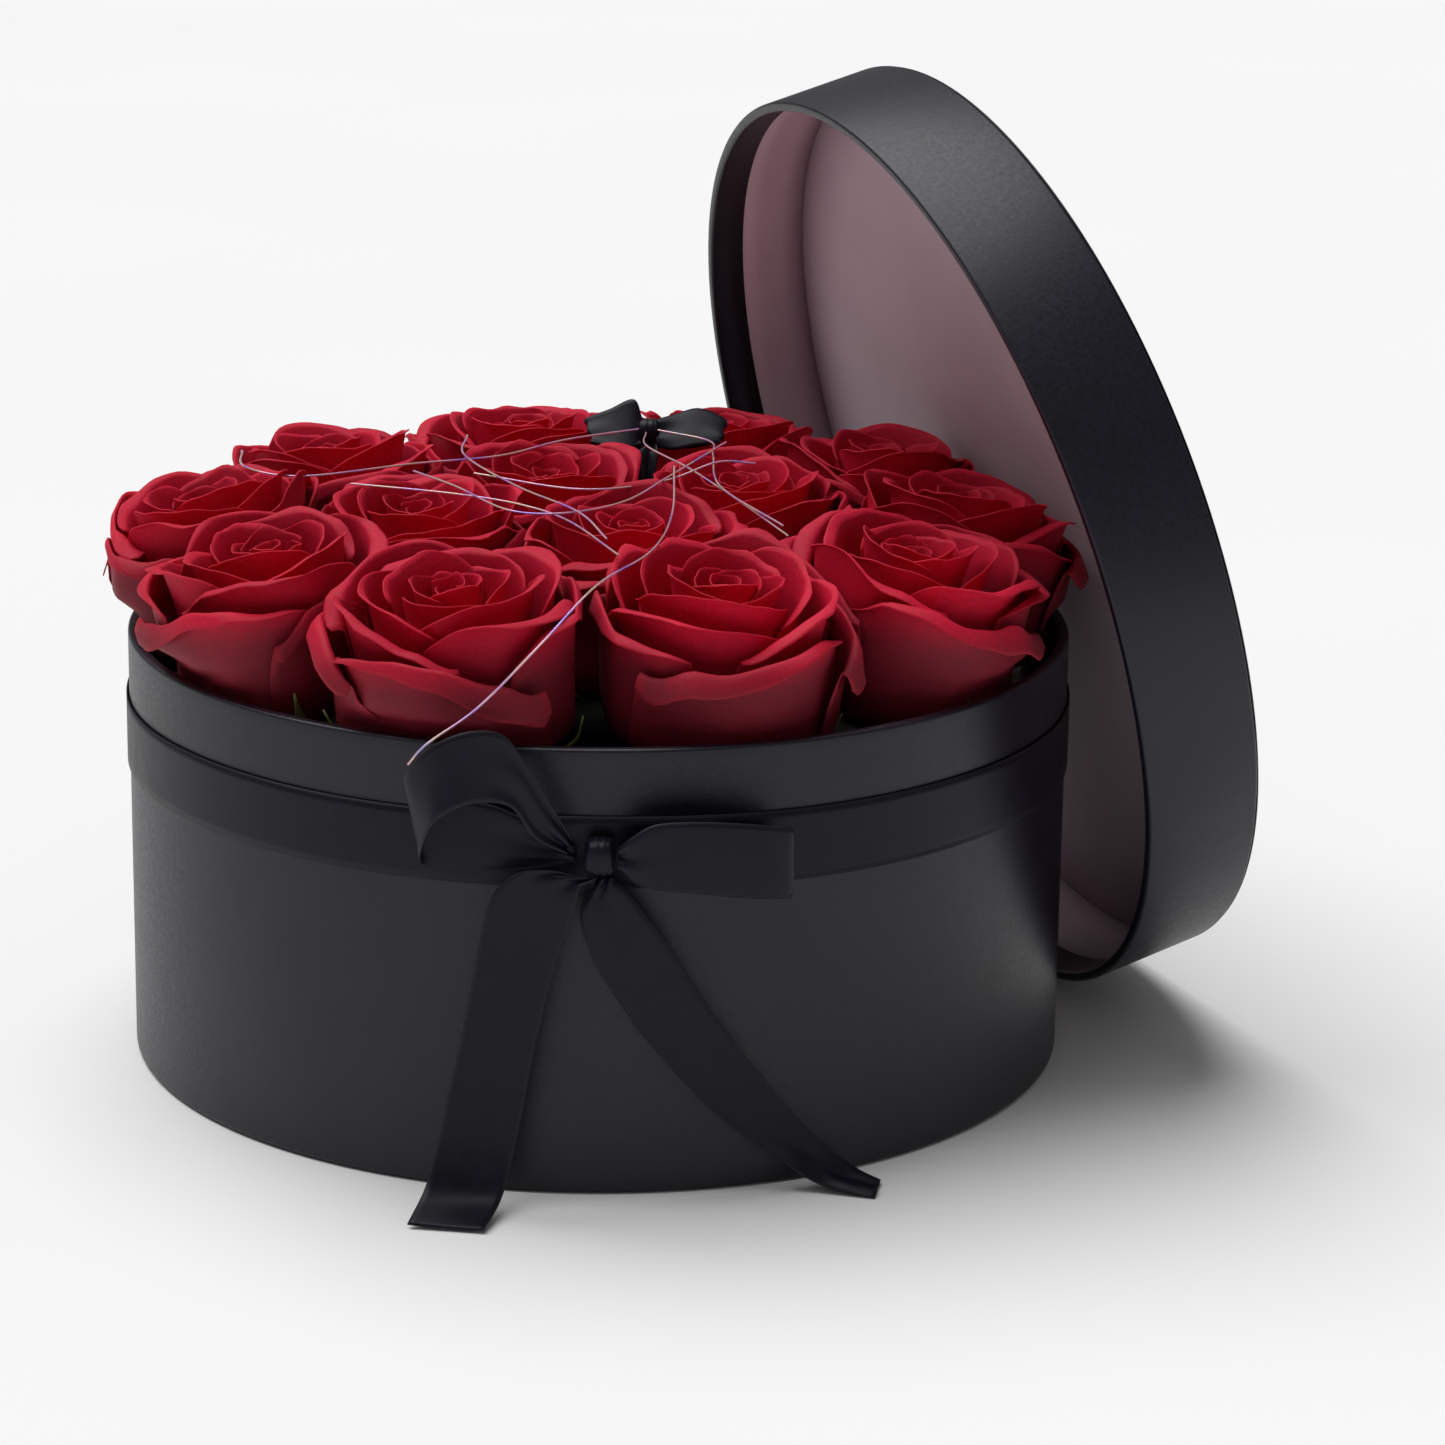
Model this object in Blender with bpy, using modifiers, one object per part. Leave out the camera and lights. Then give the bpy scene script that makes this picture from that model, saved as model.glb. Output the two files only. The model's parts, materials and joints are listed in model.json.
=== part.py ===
"""Round flower box: a wrapped hat box with soap roses on foam, a ribbon bow and a leaning lid.

Metres, +Z up. The origin is the centre of the box's underside and the bow faces -Y. The lid stands
on its rim at the right-hand back of the box and leans against the roses.
"""

import math

import bmesh
import bpy
from mathutils import Matrix, Vector

MM = 0.001
AROUND = 48  # flat faces round the box and the lid
PAPER = 0.3 * MM
GLUE_GAP = 0.1 * MM  # between coaxial layers whose flat faces line up
CLEARANCE = 0.3 * MM  # between pieces that only rest on each other

BOX_RADIUS = 110 * MM
BOX_HEIGHT = 101 * MM
BOX_BOARD = 2.0 * MM
BOX_TURN_IN = 12 * MM  # paper folded over the rim
BOX_TURN_UNDER = 12 * MM  # paper folded under the base

LID_RADIUS = 113 * MM
LID_DEPTH = 29 * MM
LID_BOARD = 1.6 * MM
LID_TOP_BOARD = 1.3 * MM
LID_TURN_IN = 9 * MM
LID_RIM_CENTRE = Vector((75.2, 40.8, 109.0)) * MM
LID_AZIMUTH = math.radians(22.5)  # horizontal direction in which the lid leans away
LID_TILT = math.radians(15.8)  # how far the lid's axis points above the horizontal

FOAM_RADIUS = 106.9 * MM
FOAM_TOP = 76 * MM
SPIKE_RADIUS = 1.8 * MM
SPIKE_LENGTH = 42 * MM
SPIKE_HOLE_RADIUS = 2.2 * MM
HOLE_DEPTH = 2 * MM  # of a spike hole below the spike's tip

BUD_HEIGHT = 129 * MM
HEAD_BASE_TO_BUD = 40 * MM
OUTER_HEAD_RADIUS = 24.5 * MM
INNER_HEAD_RADIUS = 22.6 * MM
OUTER_ROSES = (  # angle in degrees, distance of the bud from the box's axis in mm, lean in degrees
    (-110, 88, 10),
    (-68.5, 80, 10),
    (-31, 84, 10),
    (6, 86, 8),
    (39.8, 88, 4),
    (72.5, 90.5, 5),
    (105, 86, 4),
    (141.5, 87, 5),
    (180, 92, 9),
    (214, 88, 10),
)
INNER_ROSES = ((-42, -7), (8, -20), (31, 22), (-14, 33))  # x and y of the bud in mm
INNER_LEAN = math.radians(5)  # towards the bow

RIBBON_WIDTH = 16 * MM
RIBBON_THICKNESS = 0.4 * MM
BAND_HEIGHT = 78 * MM
KNOT_CENTRE = Vector((3.6, -114.9, 79.0)) * MM
KNOT_SIZE = Vector((6.4, 7.6, 8.0)) * MM
TOP_KNOT_CENTRE = Vector((10, 60, 132.6)) * MM
TOP_KNOT_SIZE = Vector((5, 6, 5)) * MM
STEM_RADIUS = 0.9 * MM
STEM_FOOT = 50 * MM

TINSEL_WIDTH = 0.5 * MM
TINSEL_POINTS = 18

UP = (0, 0, 1)


def empty_scene():
    for old in list(bpy.data.objects):
        bpy.data.objects.remove(old, do_unlink=True)


def new_collection(name):
    collection = bpy.data.collections.new(name)
    bpy.context.scene.collection.children.link(collection)
    return collection


def principled(name, colour, roughness, metallic=0.0):
    material = bpy.data.materials.new(name)
    material.use_nodes = True
    shader = material.node_tree.nodes["Principled BSDF"]
    shader.inputs["Base Color"].default_value = (*colour, 1.0)
    shader.inputs["Roughness"].default_value = roughness
    shader.inputs["Metallic"].default_value = metallic
    return material


def add_object(name, data, collection, material=None, parent=None):
    item = bpy.data.objects.new(name, data)
    collection.objects.link(item)
    item.parent = parent
    if material:
        data.materials.append(material)
    return item


def add_frame(name, collection, origin, direction, parent=None):
    """An empty at origin whose +Z points along direction."""
    frame = bpy.data.objects.new(name, None)
    collection.objects.link(frame)
    turn = Vector(direction).to_track_quat("Z", "Y").to_matrix().to_4x4()
    frame.matrix_world = Matrix.Translation(origin) @ turn
    frame.parent = parent
    return frame


def turned(name, profile, around, closed=False):
    """Mesh object turned round Z from (radius, height) points that run down the outer side."""
    mesh = bpy.data.meshes.new(name)
    points = [(radius, 0, height) for radius, height in profile]
    edges = [(i, i + 1) for i in range(len(points) - 1)]
    if closed:
        edges.append((len(points) - 1, 0))
    mesh.from_pydata(points, edges, [])
    item = bpy.data.objects.new(name, mesh)
    screw = item.modifiers.new("turn", "SCREW")
    screw.axis = "Z"
    screw.steps = around
    screw.render_steps = around
    screw.use_merge_vertices = True
    screw.merge_threshold = 0.00001
    screw.use_smooth_shade = True
    return item


def add_turned(name, profile, around, collection, material, parent=None, closed=False):
    item = turned(name, profile, around, closed)
    collection.objects.link(item)
    item.parent = parent
    item.data.materials.append(material)
    return item


def add_disc(name, radius, low, high, collection, material, parent=None):
    profile = [(0, high), (radius, high), (radius, low), (0, low)]
    return add_turned(name, profile, AROUND, collection, material, parent)


def add_ring(name, outer, inner, low, high, collection, material, parent=None):
    profile = [(outer, high), (outer, low), (inner, low), (inner, high)]
    return add_turned(name, profile, AROUND, collection, material, parent, closed=True)


def smooth_route(points, count):
    """Points spread evenly in parameter on a Catmull-Rom curve through the given vectors."""
    ends = [2 * points[0] - points[1], *points, 2 * points[-1] - points[-2]]
    route = []
    for step in range(count):
        place = step / (count - 1) * (len(points) - 1)
        i = min(int(place), len(points) - 2)
        t = place - i
        a, b, c, d = ends[i : i + 4]
        route.append(
            0.5
            * (
                2 * b
                + (c - a) * t
                + (2 * a - 5 * b + 4 * c - d) * t**2
                + (3 * b - a - 3 * c + d) * t**3
            )
        )
    return route


def add_ribbon(name, crossings, count, collection, material):
    """Strip whose two edges run smoothly through the pairs of points in mm that cross it."""
    first_edge = smooth_route([Vector(pair[0]) * MM for pair in crossings], count)
    second_edge = smooth_route([Vector(pair[1]) * MM for pair in crossings], count)
    shape = bmesh.new()
    rows = [[shape.verts.new(a), shape.verts.new(b)] for a, b in zip(first_edge, second_edge)]
    for low, high in zip(rows, rows[1:]):
        shape.faces.new((low[0], low[1], high[1], high[0]))
    mesh = bpy.data.meshes.new(name)
    shape.to_mesh(mesh)
    shape.free()
    strip = add_object(name, mesh, collection, material)
    solidify = strip.modifiers.new("thickness", "SOLIDIFY")
    solidify.thickness = RIBBON_THICKNESS
    solidify.offset = 0


def add_rounded_block(name, centre, size, collection, material):
    bpy.ops.mesh.primitive_cube_add(size=1, location=centre)
    block = bpy.context.active_object
    block.name = name
    block.data.name = name
    block.data.transform(Matrix.Diagonal((*size, 1)))
    bevel = block.modifiers.new("soft edges", "BEVEL")
    bevel.width = 1.5 * MM
    bevel.segments = 2
    for old in list(block.users_collection):
        old.objects.unlink(block)
    collection.objects.link(block)
    block.data.materials.append(material)
    return block


def cut(item, cutter):
    boolean = item.modifiers.new("cut " + cutter.name, "BOOLEAN")
    boolean.operation = "DIFFERENCE"
    boolean.object = cutter


def add_cutter(name, radius, low, high, collection, parent=None):
    profile = [(0, high), (radius, high), (radius, low), (0, low)]
    cutter = turned(name, profile, 8)
    collection.objects.link(cutter)
    cutter.parent = parent
    cutter.hide_render = True
    cutter.display_type = "WIRE"
    return cutter


def build_box(parts, black_paper, white_paper, board):
    """Board tube and disc, the black wrapping paper and the white linings."""
    outside = BOX_RADIUS
    under_paper = outside - PAPER
    tube_outside = under_paper - GLUE_GAP
    tube_inside = tube_outside - BOX_BOARD
    lining_outside = tube_inside - GLUE_GAP
    lining_inside = lining_outside - PAPER
    wrap_low = PAPER + GLUE_GAP
    board_low = wrap_low + PAPER + GLUE_GAP
    wrap_profile = [
        (outside, BOX_HEIGHT),
        (outside, wrap_low),
        (outside - BOX_TURN_UNDER, wrap_low),
        (outside - BOX_TURN_UNDER, wrap_low + PAPER),
        (under_paper, wrap_low + PAPER),
        (under_paper, BOX_HEIGHT - PAPER),
        (lining_outside, BOX_HEIGHT - PAPER),
        (lining_outside, BOX_HEIGHT - BOX_TURN_IN),
        (lining_inside, BOX_HEIGHT - BOX_TURN_IN),
        (lining_inside, BOX_HEIGHT),
    ]
    add_turned("box_wrap_paper", wrap_profile, AROUND, parts, black_paper, closed=True)
    board_top = BOX_HEIGHT - PAPER - GLUE_GAP
    add_ring("box_wall_board", tube_outside, tube_inside, board_low, board_top, parts, board)
    base_top = board_low + BOX_BOARD
    add_disc("box_base_board", lining_outside, board_low, base_top, parts, board)
    add_disc("box_base_paper", outside - 4 * MM, 0, PAPER, parts, black_paper)
    base_lining_top = base_top + GLUE_GAP + PAPER
    add_disc(
        "box_base_lining", lining_inside, base_top + GLUE_GAP, base_lining_top, parts, white_paper
    )
    add_ring(
        "box_wall_lining",
        lining_outside,
        lining_inside,
        base_lining_top + GLUE_GAP,
        BOX_HEIGHT - BOX_TURN_IN - GLUE_GAP,
        parts,
        white_paper,
    )
    return base_lining_top


def build_lid(parts, black_paper, white_paper, board):
    """The lid in its own frame: open edge at height 0, top at LID_DEPTH."""
    level = math.cos(LID_TILT)
    away = Vector(
        (level * math.cos(LID_AZIMUTH), level * math.sin(LID_AZIMUTH), math.sin(LID_TILT))
    )
    lid = add_frame("lid_axis", parts, LID_RIM_CENTRE, away)
    outside = LID_RADIUS
    under_paper = outside - PAPER
    ring_outside = under_paper - GLUE_GAP
    ring_inside = ring_outside - LID_BOARD
    lining_outside = ring_inside - GLUE_GAP
    lining_inside = lining_outside - PAPER
    wrap_top = LID_DEPTH - PAPER - GLUE_GAP
    wrap_profile = [
        (outside, wrap_top),
        (outside, 0),
        (lining_inside, 0),
        (lining_inside, LID_TURN_IN),
        (lining_outside, LID_TURN_IN),
        (lining_outside, PAPER),
        (under_paper, PAPER),
        (under_paper, wrap_top - PAPER),
        (outside - 8 * MM, wrap_top - PAPER),
        (outside - 8 * MM, wrap_top),
    ]
    add_turned("lid_wrap_paper", wrap_profile, AROUND, parts, black_paper, lid, closed=True)
    top_low = LID_DEPTH - PAPER
    add_disc("lid_top_paper", outside - 0.5 * MM, top_low, LID_DEPTH, parts, black_paper, lid)
    board_top = wrap_top - PAPER - GLUE_GAP
    add_ring(
        "lid_wall_board", ring_outside, ring_inside, PAPER + GLUE_GAP, board_top, parts, board, lid
    )
    panel_low = board_top - LID_TOP_BOARD
    add_disc("lid_panel_board", lining_outside, panel_low, board_top, parts, board, lid)
    lining_top = panel_low - GLUE_GAP
    add_disc(
        "lid_panel_lining", lining_inside, lining_top - PAPER, lining_top, parts, white_paper, lid
    )
    add_ring(
        "lid_wall_lining",
        lining_outside,
        lining_inside,
        LID_TURN_IN + GLUE_GAP,
        lining_top - PAPER - GLUE_GAP,
        parts,
        white_paper,
        lid,
    )


def rose_places():
    """(bud position, unit vector up the stem, head radius) of each rose, outer ring first."""
    places = []
    for angle, distance, lean in OUTER_ROSES:
        outward = Vector((math.cos(math.radians(angle)), math.sin(math.radians(angle)), 0))
        up_stem = outward * math.sin(math.radians(lean)) + Vector(UP) * math.cos(math.radians(lean))
        bud = outward * distance * MM + Vector(UP) * BUD_HEIGHT
        places.append((bud, up_stem, OUTER_HEAD_RADIUS))
    for x, y in INNER_ROSES:
        up_stem = Vector((0, -math.sin(INNER_LEAN), math.cos(INNER_LEAN)))
        places.append((Vector((x * MM, y * MM, BUD_HEIGHT)), up_stem, INNER_HEAD_RADIUS))
    return places


def build_roses(parts, cutters, foam, red_soap, green_plastic):
    """Each rose is a head of soap petals on a calyx whose spike stands in a hole in the foam."""
    calyx_top = -CLEARANCE
    collar = -12.5 * MM
    calyx_profile = [
        (0, calyx_top),
        (6.6 * MM, calyx_top),
        (6.2 * MM, -6 * MM),
        (3.6 * MM, collar),
        (SPIKE_RADIUS, collar),
        (SPIKE_RADIUS, 3 * MM - SPIKE_LENGTH),
        (0, -SPIKE_LENGTH),
    ]
    for number, (bud, up_stem, radius) in enumerate(rose_places(), start=1):
        name = f"rose_{number:02d}"
        frame = add_frame(name + "_frame", parts, bud - up_stem * HEAD_BASE_TO_BUD, up_stem)
        head_profile = [
            (0, 43 * MM),
            (0.48 * radius, 42 * MM),
            (0.85 * radius, 38 * MM),
            (radius, 33 * MM),
            (radius, 28 * MM),
            (0.9 * radius, 20 * MM),
            (0.66 * radius, 9 * MM),
            (0.45 * radius, 2.5 * MM),
            (0.28 * radius, 0),
            (0, 0),
        ]
        add_turned(name + "_head", head_profile, 16, parts, red_soap, frame)
        add_turned(name + "_calyx", calyx_profile, 8, parts, green_plastic, frame)
        hole_foot = -SPIKE_LENGTH - HOLE_DEPTH
        cut(foam, add_cutter(name + "_hole", SPIKE_HOLE_RADIUS, hole_foot, collar, cutters, frame))


def build_front_ribbon(parts, satin):
    """The band round the wall and the bow tied in it, with both tails down to the table."""
    inside = BOX_RADIUS + CLEARANCE
    add_ring(
        "ribbon_band",
        inside + RIBBON_THICKNESS,
        inside,
        BAND_HEIGHT - RIBBON_WIDTH / 2,
        BAND_HEIGHT + RIBBON_WIDTH / 2,
        parts,
        satin,
    )
    add_rounded_block("bow_knot", KNOT_CENTRE, KNOT_SIZE, parts, satin)
    left_loop = (
        ((-2.5, -117.5, 83.5), (-3.5, -117.5, 80.5)),
        ((-7.5, -119.5, 93), (-10, -120.5, 84.5)),
        ((-12.5, -121.5, 102), (-15, -123, 92)),
        ((-17, -123, 108), (-21.5, -125, 93.5)),
        ((-24.5, -124, 108.5), (-27, -126, 92)),
        ((-32, -122.5, 104.5), (-31.5, -125, 88)),
        ((-37.5, -118.5, 97), (-34, -120.5, 80.5)),
        ((-36, -113.5, 92), (-33.5, -114, 76)),
        ((-28.5, -111.8, 90.5), (-27.5, -112.5, 75)),
        ((-18, -111.8, 88.5), (-17, -112.2, 74.5)),
        ((-8, -112.2, 83.5), (-7.5, -112.4, 75.5)),
        ((-1.5, -113, 79.8), (-1.5, -113, 77)),
    )
    add_ribbon("bow_loop_left", left_loop, 28, parts, satin)
    right_loop = (
        ((7.6, -117.3, 81.5), (7.6, -117.3, 76.5)),
        ((10.5, -119, 84.5), (10.5, -119, 74.5)),
        ((15.5, -119.5, 87.5), (15.5, -119.5, 73)),
        ((25, -118.8, 88), (25, -118.8, 72)),
        ((35.5, -116.5, 87), (35.5, -116.5, 70.5)),
        ((42.5, -113.5, 85.5), (42.5, -113.5, 69.5)),
        ((44.7, -110.5, 84.2), (44.7, -110.5, 69)),
        ((42.5, -106.8, 83.5), (42.5, -106.8, 68.5)),
        ((33, -108.6, 84), (33, -108.6, 69.5)),
        ((22.5, -110.8, 84), (22.5, -110.8, 71)),
        ((13, -112.2, 82), (13, -112.2, 73)),
        ((7.8, -113, 79.5), (7.8, -113, 75.5)),
    )
    add_ribbon("bow_loop_right", right_loop, 28, parts, satin)
    left_tail = (
        ((0.6, -117, 74.4), (3, -117, 74.2)),
        ((-6.5, -118.2, 76.5), (-0.5, -118.2, 73)),
        ((-14, -118.6, 76), (-1.2, -118.6, 69.5)),
        ((-19, -118.4, 71), (-3, -118.4, 63.5)),
        ((-21.5, -118.2, 62), (-5.5, -118.2, 56)),
        ((-25.5, -118.3, 40), (-9.7, -118.3, 38)),
        ((-28.8, -118.6, 24.5), (-12.5, -118.6, 22.5)),
        ((-31, -119.7, 13.5), (-14.8, -119.7, 11)),
        ((-33.5, -123, 5.5), (-17, -123.5, 3.6)),
        ((-36.5, -131, 0.9), (-20, -133.5, 0.9)),
    )
    add_ribbon("bow_tail_left", left_tail, 24, parts, satin)
    right_tail = (
        ((6.4, -115.2, 74.4), (3.8, -115.2, 74.2)),
        ((7, -115.6, 73.5), (1.2, -115.6, 70.5)),
        ((9, -116, 72), (-0.8, -116, 66)),
        ((13.3, -116, 66.5), (1.8, -116, 57)),
        ((17.5, -115.6, 60.5), (5, -115.6, 51)),
        ((26.5, -113.5, 45.5), (12.5, -115, 39.5)),
        ((36, -110, 31.5), (21.5, -113, 28)),
        ((44.5, -106, 19.5), (31, -110.2, 17.5)),
        ((53, -102, 9.5), (42, -107.5, 8.5)),
        ((59.5, -100, 3.6), (52, -107.8, 2.6)),
        ((65.5, -101, 0.9), (64, -110.5, 0.9)),
    )
    add_ribbon("bow_tail_right", right_tail, 24, parts, satin)


def build_top_bow(parts, cutters, foam, satin, wire):
    """A small bow on a wire stem, pushed into the foam between the roses."""
    add_rounded_block("top_bow_knot", TOP_KNOT_CENTRE, TOP_KNOT_SIZE, parts, satin)
    left_loop = (
        ((7.2, 60, 135.2), (7.2, 57, 131.6)),
        ((6, 62.5, 139.9), (5, 54.6, 130.8)),
        ((0.6, 62, 137.2), (0.8, 54.2, 131)),
        ((-5.4, 61.5, 135.2), (-4.4, 54.8, 132)),
        ((-2.5, 62, 132.6), (-1, 56.2, 130)),
        ((4, 61.5, 132), (4.6, 57, 129.8)),
        ((7.2, 60, 131), (7.2, 58, 130.3)),
    )
    add_ribbon("top_bow_loop_left", left_loop, 18, parts, satin)
    right_loop = (
        ((12.8, 60, 135.4), (12.8, 57, 131.4)),
        ((16.4, 62, 136.7), (16.2, 54.6, 130.8)),
        ((22.2, 63.2, 137.6), (21.6, 54.6, 131.4)),
        ((28.4, 62, 135.4), (27.6, 55.2, 132)),
        ((25, 62, 132.8), (24.6, 56.4, 130)),
        ((18, 61.5, 131.8), (18, 57, 129)),
        ((12.8, 60, 131), (12.8, 58, 130.3)),
    )
    add_ribbon("top_bow_loop_right", right_loop, 18, parts, satin)
    tail = (
        ((8, 56.6, 130), (12, 56.6, 130)),
        ((5.2, 54.2, 128.4), (12.4, 54.2, 127.6)),
        ((8.4, 50.6, 121.2), (10.6, 50.6, 119.8)),
    )
    add_ribbon("top_bow_tail", tail, 8, parts, satin)
    stem_top = TOP_KNOT_CENTRE.z - TOP_KNOT_SIZE.z / 2 - CLEARANCE
    place = Vector((TOP_KNOT_CENTRE.x, TOP_KNOT_CENTRE.y, 0))
    frame = add_frame("top_bow_frame", parts, place, UP)
    stem_profile = [(0, stem_top), (STEM_RADIUS, stem_top), (STEM_RADIUS, STEM_FOOT), (0, STEM_FOOT)]
    add_turned("top_bow_stem", stem_profile, 8, parts, wire, frame)
    hole_radius = STEM_RADIUS + CLEARANCE
    hole_foot = STEM_FOOT - HOLE_DEPTH
    cut(foam, add_cutter("stem_hole", hole_radius, hole_foot, FOAM_TOP + HOLE_DEPTH, cutters, frame))


def build_tinsel(parts, film):
    """Loose strands of thin film that lie over the rose heads."""
    routes = (  # in mm
        (
            (7.6, 54.6, 134.6), (-10, 41, 134.6), (-25, 28, 133.4), (-45, 18, 133.4),
            (-70, 4, 133.2), (-84, 12, 133.4), (-87, 32, 132.8),
        ),
        ((9.4, 55, 133.6), (10, 40, 133.6), (21, 15, 133.6), (33, -18, 133.4), (43, -50, 133.8)),
        ((12.4, 54.6, 134.4), (25, 44, 134.2), (26, 26, 134.6), (28, -5, 134.2), (42, -44, 134.6)),
        ((-58, -3, 133.2), (-34, -14, 133.8), (-18, -23, 133.6), (-6, -38, 133.4), (6, -70, 133.6)),
        (
            (-44, 6, 134.4), (-33, -12, 135), (-20, -33, 134.6), (-7, -36, 134.8), (6, -22, 134.4),
            (16, 2, 135), (29, 34, 136.2),
        ),
        ((-34, 50, 133.4), (-33, 24, 134.2), (-19, -10, 134.8), (-4, -38, 135.6), (3, -56, 133.8)),
        ((-30, 8, 133.6), (-5, -6, 133.4), (14, 3, 133.4), (27, 12, 136.2), (36, 14, 135.6)),
        (
            (17, 6, 136.4), (17, -30, 133.4), (13, -70, 134.6), (2, -96, 133.4), (-9, -113, 125),
            (-22, -119, 112.5), (-32.5, -123.2, 105.6), (-36.5, -123, 101),
        ),
    )
    for number, route in enumerate(routes, start=1):
        name = f"tinsel_{number}"
        curve = bpy.data.curves.new(name, "CURVE")
        curve.dimensions = "3D"
        curve.bevel_depth = TINSEL_WIDTH / 2
        curve.bevel_resolution = 2
        curve.use_fill_caps = True
        spline = curve.splines.new("POLY")
        spline.points.add(TINSEL_POINTS - 1)
        line = smooth_route([Vector(point) * MM for point in route], TINSEL_POINTS)
        for point, place in zip(spline.points, line):
            point.co = (*place, 1)
        add_object(name, curve, parts, film)


def build_flower_box():
    parts = new_collection("flower_box")
    cutters = new_collection("cutters")
    black_paper = principled("black paper", (0.022, 0.021, 0.025), 0.62)
    white_paper = principled("white paper", (0.78, 0.76, 0.76), 0.7)
    board = principled("grey board", (0.42, 0.38, 0.33), 0.9)
    foam_green = principled("floral foam", (0.16, 0.24, 0.12), 0.95)
    red_soap = principled("red soap", (0.42, 0.012, 0.02), 0.55)
    green_plastic = principled("green plastic", (0.22, 0.32, 0.07), 0.5)
    satin = principled("black satin", (0.01, 0.01, 0.012), 0.38)
    film = principled("iridescent film", (0.75, 0.62, 0.78), 0.2)
    wire = principled("green wire", (0.05, 0.12, 0.05), 0.5)

    base_lining_top = build_box(parts, black_paper, white_paper, board)
    build_lid(parts, black_paper, white_paper, board)
    foam = add_disc(
        "foam_block", FOAM_RADIUS, base_lining_top + CLEARANCE, FOAM_TOP, parts, foam_green
    )
    build_roses(parts, cutters, foam, red_soap, green_plastic)
    build_front_ribbon(parts, satin)
    build_top_bow(parts, cutters, foam, satin, wire)
    build_tinsel(parts, film)


empty_scene()
build_flower_box()
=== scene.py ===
"""Looks of the flower box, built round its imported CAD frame.

Metres, in the frame's own axes: the bow faces -Y and the box stands on Z = 0. Petals, ribbons and
tinsel are given in millimetres where they are listed and turned into metres as they are built.
"""

import json
import math
from collections import namedtuple

import bpy
import numpy as np
from mathutils import Matrix, Vector


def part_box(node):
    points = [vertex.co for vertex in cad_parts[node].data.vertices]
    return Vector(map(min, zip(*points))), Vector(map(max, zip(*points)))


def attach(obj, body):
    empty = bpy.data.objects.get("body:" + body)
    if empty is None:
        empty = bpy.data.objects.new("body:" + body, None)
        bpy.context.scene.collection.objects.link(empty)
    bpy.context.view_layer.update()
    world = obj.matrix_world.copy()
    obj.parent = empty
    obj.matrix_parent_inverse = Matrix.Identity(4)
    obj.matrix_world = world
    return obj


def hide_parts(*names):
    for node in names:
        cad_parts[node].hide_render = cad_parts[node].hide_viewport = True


MM = 0.001
AROUND = 192  # flat faces round the box and the lid
PAPER = 0.3 * MM
BOX_WALL = 3.2 * MM  # the box's board with its paper and lining
BOX_TURN_IN = 12 * MM  # how far the black paper reaches into the box and under it
LID_RADIUS = 113 * MM
LID_WALL = 2.4 * MM
LID_TURN_IN = 9 * MM  # how far the black paper reaches into the lid
LID_INSIDE_DEPTH = 26.5 * MM
LID_TOP = 28.7 * MM  # height of the lid's top board above its open edge
BAND_HEIGHT = 78 * MM  # the middle of the ribbon band above the table

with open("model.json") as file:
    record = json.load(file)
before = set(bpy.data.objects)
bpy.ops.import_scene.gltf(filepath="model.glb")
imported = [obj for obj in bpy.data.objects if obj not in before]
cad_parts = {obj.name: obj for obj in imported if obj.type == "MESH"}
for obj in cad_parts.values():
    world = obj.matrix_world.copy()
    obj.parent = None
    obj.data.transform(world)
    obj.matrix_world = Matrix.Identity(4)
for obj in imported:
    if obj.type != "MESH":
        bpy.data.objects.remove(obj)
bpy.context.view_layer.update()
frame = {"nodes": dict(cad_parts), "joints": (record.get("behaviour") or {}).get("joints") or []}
nodes = frame["nodes"]


# ---------------------------------------------------------------- places taken from the frame


def points_of(node):
    """The node's vertices as an array."""
    mesh = nodes[node].data
    flat = np.empty(len(mesh.vertices) * 3)
    mesh.vertices.foreach_get("co", flat)
    return flat.reshape(-1, 3)


def unit(vector):
    return vector / np.linalg.norm(vector)


def rose_axes():
    """(base, direction) of each rose head, from the axis its CAD head and calyx turn round."""
    axes = []
    for node in sorted(n for n in nodes if n.startswith("rose_") and n.endswith("_head")):
        head = points_of(node)
        calyx = points_of(node.replace("_head", "_calyx"))
        direction = unit(head.mean(axis=0) - calyx.mean(axis=0))
        middle = head.mean(axis=0)
        along = (head - middle) @ direction
        axes.append((middle + direction * along.min(), direction))
    return axes


box_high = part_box("box_wrap_paper")[1]
BOX_RADIUS = box_high.x
BOX_HEIGHT = box_high.z
INSIDE_RADIUS = BOX_RADIUS - BOX_WALL
LID_AXIS = unit(np.array(frame["joints"][0]["axis"]))
lid_points = points_of("lid_wrap_paper")
lid_middle = lid_points.mean(axis=0)
LID_RIM = lid_middle + LID_AXIS * ((lid_points - lid_middle) @ LID_AXIS).min()
LID_DEPTH = ((lid_points - LID_RIM) @ LID_AXIS).max()
ROSES = rose_axes()


# ---------------------------------------------------------------- materials


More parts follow.
